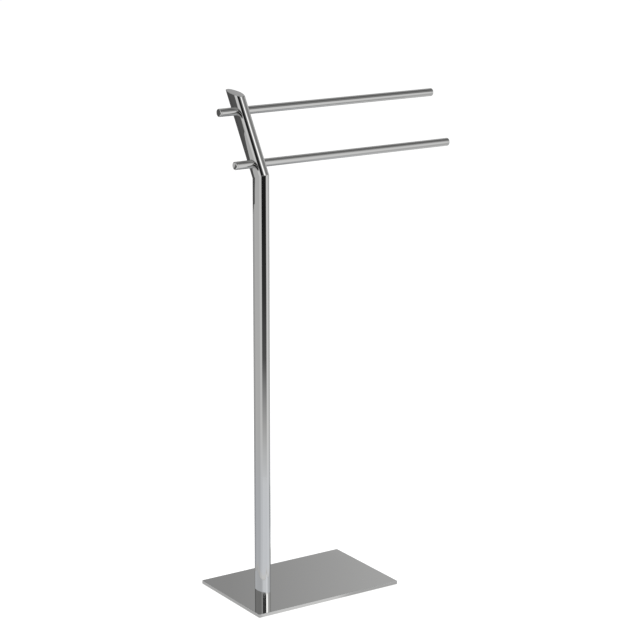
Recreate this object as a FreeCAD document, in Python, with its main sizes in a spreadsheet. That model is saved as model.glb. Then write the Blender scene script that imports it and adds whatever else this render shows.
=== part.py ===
"""Freestanding towel stand: a weighted base plate, an oval post with a leaning head, two towel bars.

All sizes are in millimetres.  The origin is the point on the floor straight below the axis of the
post.  +X runs along the towel bars and the long side of the plate, +Y points to the back, where the
head leans, and +Z is up.
"""
import FreeCAD, Part
import math
import os
import Sketcher

Vector = FreeCAD.Vector

# Every driving size: name in the sheet, value, what it is.
SIZES = [
    ("plate_length", 300.0, "base plate along X"),
    ("plate_width", 200.0, "base plate along Y"),
    ("plate_thickness", 6.0, "base plate thickness"),
    ("plate_corner_radius", 2.0, "radius of the plate's upright corners"),
    ("plate_edge_break", 0.4, "fine bevel of the plate's top and bottom edges"),
    ("mat_thickness", 1.0, "non-slip sheet under the plate"),
    ("mat_inset", 4.0, "how far the sheet stays inside the plate's outline"),
    ("mat_corner_radius", 6.0, "corner radius of the sheet"),
    ("mat_hole_gap", 0.8, "gap between a screw's countersink and the hole in the sheet"),
    ("post_inset", 70.0, "post axis from the plate's left edge"),
    ("tube_width", 22.0, "oval tube across, along X"),
    ("tube_depth", 42.0, "oval tube front to back"),
    ("tube_nose_radius", 7.25, "radius of the oval's narrow front and back"),
    ("tube_wall", 1.5, "wall of the oval tube"),
    ("bend_height", 770.0, "height of the bend on the tube's axis above the floor"),
    ("lean_angle", 31.5, "lean of the head from upright, degrees"),
    ("head_length", 160.0, "bend to the middle of the top face, along the head's axis"),
    ("top_slope", 7.0, "slope of the top face down to the front, degrees"),
    ("cap_thickness", 3.0, "plate that closes the head"),
    ("cap_rim_bevel", 0.6, "bevel of the closing plate's upper rim"),
    ("bar_diameter", 14.5, "outside of a towel bar"),
    ("bar_wall", 1.2, "wall of a towel bar"),
    ("bar_length", 458.0, "whole length of a bar with its end caps"),
    ("bar_stub", 45.5, "length of a bar left of the post axis"),
    ("first_bar_distance", 25.0, "bend to the lower bar, along the head's axis"),
    ("last_bar_distance", 35.0, "upper bar to the middle of the top face, along the head's axis"),
    ("bar_hole_clearance", 0.15, "gap round a bar where it passes through the head"),
    ("end_cap_head", 4.0, "length of an end cap outside its tube"),
    ("end_cap_plug", 9.0, "length of an end cap inside its tube"),
    ("end_cap_bevel", 1.0, "bevel of an end cap's outer rim"),
    ("seam_chamfer", 0.2, "fine bevel that marks the seam between cap and bar"),
    ("fit_clearance", 0.1, "gap round a plug or block inside its tube"),
    ("foot_block_height", 32.0, "block inside the foot of the post"),
    ("bar_block_height", 28.0, "block inside the head round each bar"),
    ("block_end_gap", 0.5, "least gap between a bar's block and the head's two cut ends"),
    ("screw_spacing", 22.0, "distance between the two base screws, along Y"),
    ("screw_diameter", 6.0, "thread of a base screw"),
    ("screw_length", 20.0, "base screw with its countersunk head"),
    ("screw_head_diameter", 12.0, "head of a base screw"),
    ("screw_head_sink", 0.4, "how deep a head sits below the plate's underside"),
    ("screw_hole_clearance", 0.3, "gap round a base screw in the plate"),
    ("screw_hex", 4.0, "hexagon of a base screw, across flats"),
    ("screw_hex_depth", 2.2, "depth of that hexagon"),
    ("thread_clearance", 0.05, "gap between a screw's thread and its tapped hole"),
    ("tapped_hole_runout", 3.0, "tapped hole beyond the screw's tip"),
    ("grub_diameter", 5.0, "thread of a grub screw"),
    ("grub_length", 10.0, "length of a grub screw"),
    ("grub_point", 0.9, "bevel at a grub screw's tip"),
    ("grub_hex", 2.5, "hexagon of a grub screw, across flats"),
    ("grub_hex_depth", 3.0, "depth of that hexagon"),
    ("key_hole_clearance", 0.4, "gap round a grub screw in the tube's wall"),
]

document = FreeCAD.newDocument("towel_stand")
sheet = document.addObject("Spreadsheet::Sheet", "sizes")
for row, (alias, value, meaning) in enumerate(SIZES, start=1):
    sheet.set(f"A{row}", meaning)
    sheet.set(f"B{row}", str(value))
    sheet.setAlias(f"B{row}", alias)
document.recompute()


# Expressions that several pieces share, in terms of the sheet.
LEAN = "(sizes.lean_angle * 1deg)"
CAP_ANGLE = "((sizes.lean_angle + sizes.top_slope) * 1deg)"
PLATE_BOTTOM = "sizes.mat_thickness"
PLATE_TOP = "(sizes.mat_thickness + sizes.plate_thickness)"
BORE_WIDTH = "(sizes.tube_width - 2 * sizes.tube_wall)"
BORE_DEPTH = "(sizes.tube_depth - 2 * sizes.tube_wall)"
BORE_NOSE = "(sizes.tube_nose_radius - sizes.tube_wall)"
BAR_RADIUS = "(sizes.bar_diameter / 2)"
LOWER_BAR = "sizes.first_bar_distance"
UPPER_BAR = "(sizes.head_length - sizes.last_bar_distance)"
SCREW_BOTTOM = f"({PLATE_BOTTOM} + sizes.screw_head_sink)"
# Over one tube depth the mitre plane climbs by MITRE_RISE and the head's top by TOP_RISE.
MITRE_RISE = f"(sizes.tube_depth * tan({LEAN} / 2))"
TOP_RISE = f"(sizes.tube_depth * tan({CAP_ANGLE}))"
# Where the cap's underside crosses the head's axis.
CAP_SEAT = f"(sizes.head_length - sizes.cap_thickness / cos({CAP_ANGLE}))"


def new_body(name):
    """Start a sub-part."""
    return document.addObject("PartDesign::Body", name)


def origin_feature(body, role):
    """One of the body's own origin planes or axes, by its role."""
    return next(item for item in body.Origin.OriginFeatures if item.Role == role)


def bind(item, **expressions):
    """Bind properties of an object to expressions; a double underscore stands for a dot."""
    for name, expression in expressions.items():
        item.setExpression(name.replace("__", "."), expression)
    return item


def new_sketch(body, name, plane, offset=None):
    """A sketch flat on one of the body's origin planes, lifted off it by an offset if given."""
    sketch = body.newObject("Sketcher::SketchObject", name)
    sketch.AttachmentSupport = [(origin_feature(body, plane), "")]
    sketch.MapMode = "FlatFace"
    if offset:
        sketch.setExpression("AttachmentOffset.Base.z", offset)
    return sketch


def now(sketch, expression):
    """What an expression comes to with the sheet as it stands."""
    return float(sketch.evalExpression(expression))


def bound_constraint(sketch, name, expression, *definition):
    """Add a dimension at its present size, name it and bind it to its expression."""
    index = sketch.addConstraint(Sketcher.Constraint(*definition, now(sketch, expression)))
    sketch.renameConstraint(index, name)
    sketch.setExpression(f"Constraints.{name}", expression)


def place_point(sketch, name, geometry, point, across, up):
    """Fix a point of the sketch at its two distances from the sketch's origin."""
    bound_constraint(sketch, f"{name}_x", across, "DistanceX", -1, 1, geometry, point)
    bound_constraint(sketch, f"{name}_y", up, "DistanceY", -1, 1, geometry, point)


def add_circle(sketch, name, diameter, across="0", up="0"):
    """A circle with its centre at the two distances given."""
    circle = sketch.addGeometry(Part.Circle(Vector(0, 0, 0), Vector(0, 0, 1), 1.0), False)
    bound_constraint(sketch, f"{name}_diameter", diameter, "Diameter", circle)
    place_point(sketch, name, circle, 3, across, up)
    return circle


def add_oval(sketch, name, width, depth, nose_radius):
    """An oval about the sketch's origin, its longer way upright: two noses and two flatter flanks.

    The four arcs meet in tangents.  With half a width b, half a depth a and a nose radius r, that
    leaves one radius for the flanks: (a^2 + b^2 - 2 a r) / (2 (b - r)).
    """
    half_width = f"({width}) / 2"
    half_depth = f"({depth}) / 2"
    flank_radius = (f"(({half_depth})^2 + ({half_width})^2 - 2 * ({half_depth}) * ({nose_radius}))"
                    f" / (2 * ({half_width} - ({nose_radius})))")
    nose = now(sketch, nose_radius)
    flank = now(sketch, flank_radius)
    nose_centre = now(sketch, half_depth) - nose
    flank_centre = flank - now(sketch, half_width)
    turn_over = math.atan2(nose_centre, flank_centre)
    quarter = math.pi / 2
    arcs = []
    for centre, radius, middle, half_angle in (
            (Vector(-flank_centre, 0, 0), flank, 0, turn_over),
            (Vector(0, nose_centre, 0), nose, quarter, quarter - turn_over),
            (Vector(flank_centre, 0, 0), flank, 2 * quarter, turn_over),
            (Vector(0, -nose_centre, 0), nose, 3 * quarter, quarter - turn_over)):
        circle = Part.Circle(centre, Vector(0, 0, 1), radius)
        arc = Part.ArcOfCircle(circle, middle - half_angle, middle + half_angle)
        arcs.append(sketch.addGeometry(arc, False))
    right, back, left, front = arcs
    for arc, following in ((right, back), (back, left), (left, front), (front, right)):
        sketch.addConstraint(Sketcher.Constraint("Tangent", arc, 2, following, 1))
    place_point(sketch, f"{name}_back", back, 3, "0", f"{half_depth} - ({nose_radius})")
    place_point(sketch, f"{name}_front", front, 3, "0", f"({nose_radius}) - {half_depth}")
    bound_constraint(sketch, f"{name}_back_nose", nose_radius, "Radius", back)
    bound_constraint(sketch, f"{name}_front_nose", nose_radius, "Radius", front)
    bound_constraint(sketch, f"{name}_right_flank", flank_radius, "Radius", right)
    bound_constraint(sketch, f"{name}_left_flank", flank_radius, "Radius", left)


def add_polygon(sketch, name, corners):
    """A closed polygon through corners, each given by its two distances from the origin."""
    first = sketch.GeometryCount
    count = len(corners)
    ring = [Vector(math.cos(2 * math.pi * k / count), math.sin(2 * math.pi * k / count), 0)
            for k in range(count)]
    for k in range(count):
        sketch.addGeometry(Part.LineSegment(ring[k], ring[(k + 1) % count]), False)
    for k in range(count):
        following = first + (k + 1) % count
        sketch.addConstraint(Sketcher.Constraint("Coincident", first + k, 2, following, 1))
    for k, (across, up) in enumerate(corners):
        place_point(sketch, f"{name}_{k}", first + k, 1, across, up)


def add_rectangle(sketch, name, left, right, bottom, top):
    """An upright rectangle between four distances from the sketch's origin."""
    add_polygon(sketch, name, [(left, bottom), (right, bottom), (right, top), (left, top)])


def add_hexagon(sketch, name, across_flats, across="0", up="0"):
    """A regular hexagon with two corners level with its centre."""
    reach = f"({across_flats}) / (2 * cos(30deg))"
    corners = [(f"{across} + {reach} * cos({60 * k}deg)", f"{up} + {reach} * sin({60 * k}deg)")
               for k in range(6)]
    add_polygon(sketch, name, corners)


def pad(body, name, sketch, length, reverse=False, both_ways=False):
    """Raise a solid from a sketch."""
    feature = body.newObject("PartDesign::Pad", name)
    feature.Profile = sketch
    feature.Reversed = reverse
    feature.SideType = "Symmetric" if both_ways else "One side"
    feature.setExpression("Length", length)
    return feature


def cut(body, name, sketch, length=None, reverse=False, both_ways=False):
    """Cut a sketch out of the body, to a length or right through."""
    feature = body.newObject("PartDesign::Pocket", name)
    feature.Profile = sketch
    feature.Reversed = reverse
    feature.SideType = "Symmetric" if both_ways else "One side"
    if length:
        feature.setExpression("Length", length)
    else:
        feature.Type = "ThroughAll"
    return feature


def turn(body, name, sketch, axis):
    """Turn a half profile into a round solid about one of the body's origin axes."""
    feature = body.newObject("PartDesign::Revolution", name)
    feature.Profile = sketch
    feature.ReferenceAxis = (origin_feature(body, axis), [""])
    feature.Angle = 360.0
    return feature


def dress(body, kind, name, base, edges, **size):
    """Round or bevel edges of a feature."""
    feature = body.newObject(f"PartDesign::{kind}", name)
    feature.Base = (base, edges)
    return bind(feature, **size)


def repeat_along(body, name, axis, distance):
    """Two of the body's solid, the second a distance further along one of its origin axes."""
    pair = body.newObject("PartDesign::LinearPattern", name)
    pair.TransformMode = "Whole shape"
    pair.Direction = (origin_feature(body, axis), [""])
    pair.Occurrences = 2
    body.Tip = pair
    return bind(pair, Length=distance)


def edges_where(feature, test):
    """Names of a feature's edges that pass a test."""
    document.recompute()
    return [f"Edge{k}" for k, edge in enumerate(feature.Shape.Edges, start=1) if test(edge)]


def is_upright(edge):
    """True for a straight edge along Z."""
    box = edge.BoundBox
    return box.ZLength > 1e-6 and box.XLength < 1e-6 and box.YLength < 1e-6


def lies_level(edge, height):
    """True for an edge wholly at one height."""
    box = edge.BoundBox
    return abs(box.ZMin - height) < 1e-6 and abs(box.ZMax - height) < 1e-6


def lean_with_head(body):
    """Place a body in the head's frame: origin on the bend, local Z along the leaning axis."""
    body.Placement = FreeCAD.Placement(Vector(0, 0, 0), FreeCAD.Rotation(Vector(-1, 0, 0), 30.0))
    bind(body, Placement__Base__z="sizes.bend_height", Placement__Rotation__Angle=LEAN)


def value(alias):
    """The number in a cell of the sheet."""
    return float(sheet.get(alias))


# ---------------------------------------------------------------------------------------------
# Base
# ---------------------------------------------------------------------------------------------

def screw_places():
    """Names and Y distances of the two base screws."""
    return (("front", "-sizes.screw_spacing / 2"), ("back", "sizes.screw_spacing / 2"))


def plate_outline(sketch, inset):
    """The plate's rectangle, the post axis at the origin, drawn in by an inset."""
    add_rectangle(sketch, "outline",
                  f"-sizes.post_inset + {inset}",
                  f"sizes.plate_length - sizes.post_inset - {inset}",
                  f"-sizes.plate_width / 2 + {inset}",
                  f"sizes.plate_width / 2 - {inset}")


def make_base_plate():
    """Flat plate, corners rounded and edges finely bevelled, two countersunk holes from below."""
    body = new_body("base_plate")
    outline = new_sketch(body, "plate_outline", "XY_Plane", PLATE_BOTTOM)
    plate_outline(outline, "0")
    slab = pad(body, "plate_slab", outline, "sizes.plate_thickness")
    corners = dress(body, "Fillet", "plate_corners", slab, edges_where(slab, is_upright),
                    Radius="sizes.plate_corner_radius")
    bottom = value("mat_thickness")
    top = bottom + value("plate_thickness")
    rims = edges_where(corners, lambda edge: lies_level(edge, bottom) or lies_level(edge, top))
    dress(body, "Chamfer", "plate_edge_break", corners, rims, Size="sizes.plate_edge_break")
    document.recompute()

    drill = new_sketch(body, "screw_holes", "XY_Plane", PLATE_BOTTOM)
    for name, place in screw_places():
        add_circle(drill, name, "sizes.screw_diameter + 2 * sizes.screw_hole_clearance", "0", place)
    cut(body, "screw_hole_bores", drill, "sizes.plate_thickness", reverse=True)
    # The 90 degree countersink is as wide at the underside as the head plus what the head is sunk.
    for name, place in screw_places():
        cone = new_sketch(body, f"{name}_countersink_profile", "YZ_Plane")
        reach = "(sizes.screw_head_diameter / 2 + sizes.screw_head_sink)"
        add_polygon(cone, "cone", [
            (place, PLATE_BOTTOM),
            (f"{place} + {reach}", PLATE_BOTTOM),
            (place, f"{PLATE_BOTTOM} + {reach}"),
        ])
        axis = cone.addGeometry(Part.LineSegment(Vector(0, 0, 0), Vector(0, 5, 0)), True)
        place_point(cone, "axis_foot", axis, 1, place, "0")
        place_point(cone, "axis_end", axis, 2, place, "5")
        groove = body.newObject("PartDesign::Groove", f"{name}_countersink")
        groove.Profile = cone
        groove.ReferenceAxis = (cone, ["Axis0"])
        groove.Angle = 360.0
    return body


def make_base_mat():
    """Thin non-slip sheet glued under the plate, open at the two screws."""
    body = new_body("base_mat")
    outline = new_sketch(body, "mat_outline", "XY_Plane")
    plate_outline(outline, "sizes.mat_inset")
    sheet_pad = pad(body, "mat_sheet", outline, "sizes.mat_thickness")
    dress(body, "Fillet", "mat_corners", sheet_pad, edges_where(sheet_pad, is_upright),
          Radius="sizes.mat_corner_radius")
    holes = new_sketch(body, "mat_holes", "XY_Plane")
    gap = "2 * (sizes.screw_head_sink + sizes.mat_hole_gap)"
    for name, place in screw_places():
        add_circle(holes, name, f"sizes.screw_head_diameter + {gap}", "0", place)
    cut(body, "mat_hole_cut", holes, reverse=True)
    return body


def make_base_screws():
    """Two countersunk socket screws that hold the post's foot block to the plate.

    The front screw is turned about the body's Z axis, and the back one is its copy along Y.
    """
    body = new_body("base_screws")
    body.AllowCompound = True
    bind(body, Placement__Base__y="-sizes.screw_spacing / 2", Placement__Base__z=SCREW_BOTTOM)
    profile = new_sketch(body, "screw_profile", "XZ_Plane")
    head_radius = "sizes.screw_head_diameter / 2"
    thread_radius = "sizes.screw_diameter / 2"
    add_polygon(profile, "screw", [
        ("0", "0"),
        (head_radius, "0"),
        (thread_radius, f"{head_radius} - {thread_radius}"),
        (thread_radius, "sizes.screw_length"),
        ("0", "sizes.screw_length"),
    ])
    turn(body, "screw_turned", profile, "Z_Axis")
    key = new_sketch(body, "screw_hexagon", "XY_Plane")
    add_hexagon(key, "hexagon", "sizes.screw_hex")
    cut(body, "screw_socket", key, "sizes.screw_hex_depth", reverse=True)
    repeat_along(body, "screw_pair", "Y_Axis", "sizes.screw_spacing")
    return body


def add_bore_filling(sketch):
    """The outline of a block that slides into the oval tube."""
    add_oval(sketch, "block", f"{BORE_WIDTH} - 2 * sizes.fit_clearance",
             f"{BORE_DEPTH} - 2 * sizes.fit_clearance", f"{BORE_NOSE} - sizes.fit_clearance")


def make_foot_block():
    """Solid oval block in the foot of the post, with a tapped hole for each base screw."""
    body = new_body("post_foot_block")
    section = new_sketch(body, "foot_section", "XY_Plane", PLATE_TOP)
    add_bore_filling(section)
    pad(body, "foot_block", section, "sizes.foot_block_height")
    taps = new_sketch(body, "foot_taps", "XY_Plane", PLATE_TOP)
    for name, place in screw_places():
        add_circle(taps, name, "sizes.screw_diameter + 2 * sizes.thread_clearance", "0", place)
    depth = f"{SCREW_BOTTOM} + sizes.screw_length + sizes.tapped_hole_runout - {PLATE_TOP}"
    cut(body, "foot_tapped_holes", taps, depth, reverse=True)
    return body


# ---------------------------------------------------------------------------------------------
# Post and head
# ---------------------------------------------------------------------------------------------

def add_tube_section(sketch):
    """Oval ring: the tube's outside and its bore."""
    add_oval(sketch, "outside", "sizes.tube_width", "sizes.tube_depth", "sizes.tube_nose_radius")
    add_oval(sketch, "bore", BORE_WIDTH, BORE_DEPTH, BORE_NOSE)


def make_post_tube():
    """Upright oval tube from the plate to the bend, its top cut to the mitre plane.

    The mitre plane halves the bend, so it rises to the front by half the lean angle.
    """
    body = new_body("post_tube")
    section = new_sketch(body, "post_section", "XY_Plane", PLATE_TOP)
    add_tube_section(section)
    pad(body, "post_length", section, f"sizes.bend_height + {MITRE_RISE} - {PLATE_TOP}")
    mitre = new_sketch(body, "post_mitre", "YZ_Plane")
    add_polygon(mitre, "off", [
        ("-sizes.tube_depth", f"sizes.bend_height + {MITRE_RISE}"),
        ("sizes.tube_depth", f"sizes.bend_height - {MITRE_RISE}"),
        ("sizes.tube_depth", f"sizes.bend_height + 2 * {MITRE_RISE}"),
        ("-sizes.tube_depth", f"sizes.bend_height + 2 * {MITRE_RISE}"),
    ])
    cut(body, "post_mitre_cut", mitre, both_ways=True)
    return body


def cut_below(sketch, height, rise):
    """Waste below a plane that crosses the head's axis at a height and climbs to the back."""
    add_polygon(sketch, "below", [
        ("-sizes.tube_depth", f"{height} - {rise} - sizes.tube_depth"),
        ("sizes.tube_depth", f"{height} - {rise} - sizes.tube_depth"),
        ("sizes.tube_depth", f"{height} + {rise}"),
        ("-sizes.tube_depth", f"{height} - {rise}"),
    ])


def cut_above(sketch, height, rise):
    """Waste above such a plane."""
    add_polygon(sketch, "above", [
        ("-sizes.tube_depth", f"{height} - {rise}"),
        ("sizes.tube_depth", f"{height} + {rise}"),
        ("sizes.tube_depth", f"{height} + {rise} + sizes.tube_depth"),
        ("-sizes.tube_depth", f"{height} + {rise} + sizes.tube_depth"),
    ])


def trim_to_head(body, name, gap="0"):
    """Keep what lies between the mitre plane and the cap's seat, clear of both by a gap."""
    waste = new_sketch(body, f"{name}_ends", "YZ_Plane")
    cut_below(waste, gap, MITRE_RISE)
    cut_above(waste, f"{CAP_SEAT} - {gap}", TOP_RISE)
    return cut(body, f"{name}_end_cuts", waste, both_ways=True)


def make_head_tube():
    """Leaning oval tube: mitred below, cut off at the cap above, bored for bars and grub screws."""
    body = new_body("head_tube")
    lean_with_head(body)
    section = new_sketch(body, "head_section", "XY_Plane", f"-{MITRE_RISE}")
    add_tube_section(section)
    pad(body, "head_whole_length", section, f"{MITRE_RISE} + sizes.head_length + {TOP_RISE}")
    trim_to_head(body, "head")
    bores = new_sketch(body, "bar_bores", "YZ_Plane")
    for name, distance in (("lower", LOWER_BAR), ("upper", UPPER_BAR)):
        add_circle(bores, name, "sizes.bar_diameter + 2 * sizes.bar_hole_clearance", "0", distance)
    cut(body, "bar_bore_cut", bores, both_ways=True)
    keys = new_sketch(body, "key_holes", "XZ_Plane")
    for name, distance in (("lower", LOWER_BAR), ("upper", UPPER_BAR)):
        add_circle(keys, name, "sizes.grub_diameter + 2 * sizes.key_hole_clearance", "0", distance)
    cut(body, "key_hole_cut", keys)
    return body


def make_head_cap():
    """Plate with the tube's oval outline, both faces parallel to the sloping top."""
    body = new_body("head_cap")
    lean_with_head(body)
    section = new_sketch(body, "cap_section", "XY_Plane", f"{CAP_SEAT} - {TOP_RISE}")
    add_oval(section, "outside", "sizes.tube_width", "sizes.tube_depth", "sizes.tube_nose_radius")
    pad(body, "cap_length", section, f"2 * {TOP_RISE} + sizes.head_length - {CAP_SEAT}")
    waste = new_sketch(body, "cap_waste", "YZ_Plane")
    cut_below(waste, CAP_SEAT, TOP_RISE)
    cut_above(waste, "sizes.head_length", TOP_RISE)
    trimmed = cut(body, "cap_faces", waste, both_ways=True)
    document.recompute()
    top_face = max(trimmed.Shape.Faces, key=lambda face: face.CenterOfMass.z)
    rim = edges_where(trimmed, lambda edge: any(edge.isSame(other) for other in top_face.Edges))
    dress(body, "Chamfer", "cap_rim", trimmed, rim, Size="sizes.cap_rim_bevel")
    return body


def make_bar_block(name, distance):
    """Oval block inside the head: the bar lies in its cross bore, the grub screw in its thread."""
    body = new_body(name)
    lean_with_head(body)
    section = new_sketch(body, f"{name}_section", "XY_Plane",
                         f"{distance} - sizes.bar_block_height / 2")
    add_bore_filling(section)
    pad(body, f"{name}_length", section, "sizes.bar_block_height")
    trim_to_head(body, name, "sizes.block_end_gap")
    bore = new_sketch(body, f"{name}_bore", "YZ_Plane")
    add_circle(bore, "bar", "sizes.bar_diameter + 2 * sizes.bar_hole_clearance", "0", distance)
    cut(body, f"{name}_bore_cut", bore, both_ways=True)
    tap = new_sketch(body, f"{name}_tap", "XZ_Plane")
    add_circle(tap, "grub", "sizes.grub_diameter + 2 * sizes.thread_clearance", "0", distance)
    cut(body, f"{name}_tap_cut", tap)
    return body


# ---------------------------------------------------------------------------------------------
# Towel bars
# ---------------------------------------------------------------------------------------------

def place_on_bar(body, distance, along):
    """Place a body on a bar's axis, its local X along the bar, at a distance along X."""
    bind(body,
         Placement__Base__x=along,
         Placement__Base__y=f"({distance}) * sin({LEAN})",
         Placement__Base__z=f"sizes.bend_height + ({distance}) * cos({LEAN})")


def make_bar(name, distance):
    """Round tube between its two end caps, through the head."""
    body = new_body(name)
    place_on_bar(body, distance, "-sizes.bar_stub")
    section = new_sketch(body, f"{name}_section", "YZ_Plane", "sizes.end_cap_head")
    add_circle(section, "outside", "sizes.bar_diameter")
    add_circle(section, "bore", "sizes.bar_diameter - 2 * sizes.bar_wall")
    pad(body, f"{name}_length", section, "sizes.bar_length - 2 * sizes.end_cap_head")
    return body


def make_end_cap(name, distance, at_right):
    """Turned cap: a head as thick as the bar with a bevelled rim, and a plug inside the tube.

    The profile lies along X from the outer face at 0 to the plug's end.
    """
    body = new_body(name)
    if at_right:
        body.Placement = FreeCAD.Placement(Vector(0, 0, 0), FreeCAD.Rotation(Vector(0, 0, 1), 180.0))
    end = "sizes.bar_length - sizes.bar_stub" if at_right else "-sizes.bar_stub"
    place_on_bar(body, distance, end)
    profile = new_sketch(body, f"{name}_profile", "XZ_Plane")
    plug_radius = f"({BAR_RADIUS} - sizes.bar_wall - sizes.fit_clearance)"
    whole = "(sizes.end_cap_head + sizes.end_cap_plug)"
    add_polygon(profile, "cap", [
        ("0", "0"),
        ("0", BAR_RADIUS),
        ("sizes.end_cap_head - sizes.seam_chamfer", BAR_RADIUS),
        ("sizes.end_cap_head", f"{BAR_RADIUS} - sizes.seam_chamfer"),
        ("sizes.end_cap_head", plug_radius),
        (whole, plug_radius),
        (whole, "0"),
    ])
    turned = turn(body, f"{name}_turned", profile, "X_Axis")
    rim = edges_where(turned, lambda edge: edge.BoundBox.XLength < 1e-6
                      and abs(edge.BoundBox.XMin) < 1e-6)
    dress(body, "Chamfer", f"{name}_rim", turned, rim, Size="sizes.end_cap_bevel")
    return body


def make_grub_screws():
    """Two socket grub screws from the back of the head, their flat tips on the bars."""
    body = new_body("bar_grub_screws")
    body.AllowCompound = True
    lean_with_head(body)
    profile = new_sketch(body, "grub_profile", "YZ_Plane")
    radius = "sizes.grub_diameter / 2"
    tip = BAR_RADIUS
    tail = f"({BAR_RADIUS} + sizes.grub_length)"
    middle = LOWER_BAR
    add_polygon(profile, "grub", [
        (tip, middle),
        (tip, f"{middle} + {radius} - sizes.grub_point"),
        (f"{tip} + sizes.grub_point", f"{middle} + {radius}"),
        (tail, f"{middle} + {radius}"),
        (tail, middle),
    ])
    axis = profile.addGeometry(Part.LineSegment(Vector(0, 0, 0), Vector(5, 0, 0)), True)
    place_point(profile, "axis_start", axis, 1, "0", middle)
    place_point(profile, "axis_end", axis, 2, "5", middle)
    turned = body.newObject("PartDesign::Revolution", "grub_turned")
    turned.Profile = profile
    turned.ReferenceAxis = (profile, ["Axis0"])
    turned.Angle = 360.0
    key = new_sketch(body, "grub_hexagon", "XZ_Plane", f"-{tail}")
    add_hexagon(key, "hexagon", "sizes.grub_hex", "0", middle)
    cut(body, "grub_socket", key, "sizes.grub_hex_depth", reverse=True)
    repeat_along(body, "grub_pair", "Z_Axis", f"{UPPER_BAR} - {LOWER_BAR}")
    return body


# ---------------------------------------------------------------------------------------------
# Assembly
# ---------------------------------------------------------------------------------------------

sub_parts = [
    make_base_plate(),
    make_base_mat(),
    make_base_screws(),
    make_foot_block(),
    make_post_tube(),
    make_head_tube(),
    make_head_cap(),
    make_grub_screws(),
]
for level, place in (("lower", LOWER_BAR), ("upper", UPPER_BAR)):
    sub_parts.append(make_bar_block(f"{level}_bar_block", place))
    sub_parts.append(make_bar(f"{level}_bar", place))
    sub_parts.append(make_end_cap(f"{level}_bar_left_cap", place, at_right=False))
    sub_parts.append(make_end_cap(f"{level}_bar_right_cap", place, at_right=True))

document.recompute()
for item in document.Objects:
    if "Invalid" in item.State or "Error" in item.State:
        raise RuntimeError(f"{item.Label} failed: {item.State}")
for body in sub_parts:
    shape = body.Shape
    if shape.isNull() or not shape.isValid():
        raise RuntimeError(f"{body.Label} has no valid shape")

os.makedirs("parts", exist_ok=True)
for body in sub_parts:
    body.Shape.exportStep(f"parts/{body.Label}.step")
    box = body.Shape.BoundBox
    print(f"{body.Label:22s} solids {len(body.Shape.Solids)}  volume {body.Shape.Volume:10.1f}  "
          f"x {box.XMin:7.2f} {box.XMax:7.2f}  y {box.YMin:7.2f} {box.YMax:7.2f}  "
          f"z {box.ZMin:7.2f} {box.ZMax:7.2f}")
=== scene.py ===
"""Freestanding towel stand in mirror chrome: a flat base plate, an oval upright whose head leans back
through one mitred bend, and two round towel bars that pass through the head.

The tubes, bars, caps and plate are drawn here as smooth surfaces worked out with numpy, each in the
place of its frame node. The screws, the inner blocks and the mat are the frame's own nodes.
"""
import math

import bpy
import numpy as np
from mathutils import Matrix, Vector
from mathutils.geometry import tessellate_polygon


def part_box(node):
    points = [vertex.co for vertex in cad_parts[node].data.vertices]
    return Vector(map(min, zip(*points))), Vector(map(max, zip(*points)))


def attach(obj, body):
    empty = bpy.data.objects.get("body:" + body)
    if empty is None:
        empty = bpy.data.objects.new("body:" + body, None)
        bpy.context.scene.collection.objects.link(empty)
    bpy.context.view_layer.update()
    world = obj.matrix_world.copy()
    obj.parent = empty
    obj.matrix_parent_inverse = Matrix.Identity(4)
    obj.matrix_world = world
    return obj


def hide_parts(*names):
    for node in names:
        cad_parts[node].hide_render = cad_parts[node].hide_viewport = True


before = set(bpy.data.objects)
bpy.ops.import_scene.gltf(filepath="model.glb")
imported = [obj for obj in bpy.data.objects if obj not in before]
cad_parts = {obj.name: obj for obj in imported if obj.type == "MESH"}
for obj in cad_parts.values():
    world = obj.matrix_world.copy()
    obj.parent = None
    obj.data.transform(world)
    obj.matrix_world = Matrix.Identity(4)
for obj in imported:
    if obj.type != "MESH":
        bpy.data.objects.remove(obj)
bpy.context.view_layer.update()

MM = 0.001

# ---------------------------------------------------------------- sizes, in metres

post_low, post_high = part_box("post_tube")
plate_low, plate_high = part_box("base_plate")

HALF_WIDTH = post_high.x        # of the oval tube, whose long side runs front to back
HALF_DEPTH = -post_low.y
NOSE_RADIUS = 7.25 * MM         # front and back arcs of the oval
TUBE_WALL = 1.5 * MM
BAR_WALL = 1.2 * MM
BEND_HEIGHT = 770 * MM          # middle of the mitre
LEAN = math.radians(31.5)
HEAD_LENGTH = 160 * MM          # bend to the middle of the top face
TOP_SLOPE = math.radians(7)     # the top face falls to the front
CAP_THICKNESS = 3 * MM
PLATE_CORNER = 2 * MM
PLATE_EDGE = 0.45 * MM          # rounding of the plate's edges
PLATE_MARGIN = 0.3 * MM         # flat strip inside the rounding, so that the face beyond it shades flat
CREASE_RADIUS = 2.5 * MM        # rounding that polishing leaves on the mitre
CAP_RIM = 1.2 * MM              # rounding round the head's top face
KEY_HOLE_RADIUS = 2.9 * MM      # of the hole through which a key reaches a grub screw
BAR_HOLE_GAP = 0.15 * MM        # round a bar where it passes through the head's wall
HOLE_EDGE = 0.3 * MM            # broken edge of the holes in the head
SEAM_EDGE = 0.2 * MM            # small round on both sides of an end cap's seam
END_CAP_LENGTH = 4 * MM
END_CAP_RIM = 1.3 * MM
END_FACE_DISH = 0.25 * MM       # how far the face of an end cap is hollowed by turning
SCREW_SPACING = 22 * MM         # between the two screws that hold the post's foot
COUNTERSINK_RADIUS = 6.7 * MM
SCREW_HOLE_RADIUS = 3.3 * MM
SHARP_EDGE = math.radians(40)   # faces that meet at more than this are shaded as an edge

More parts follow.
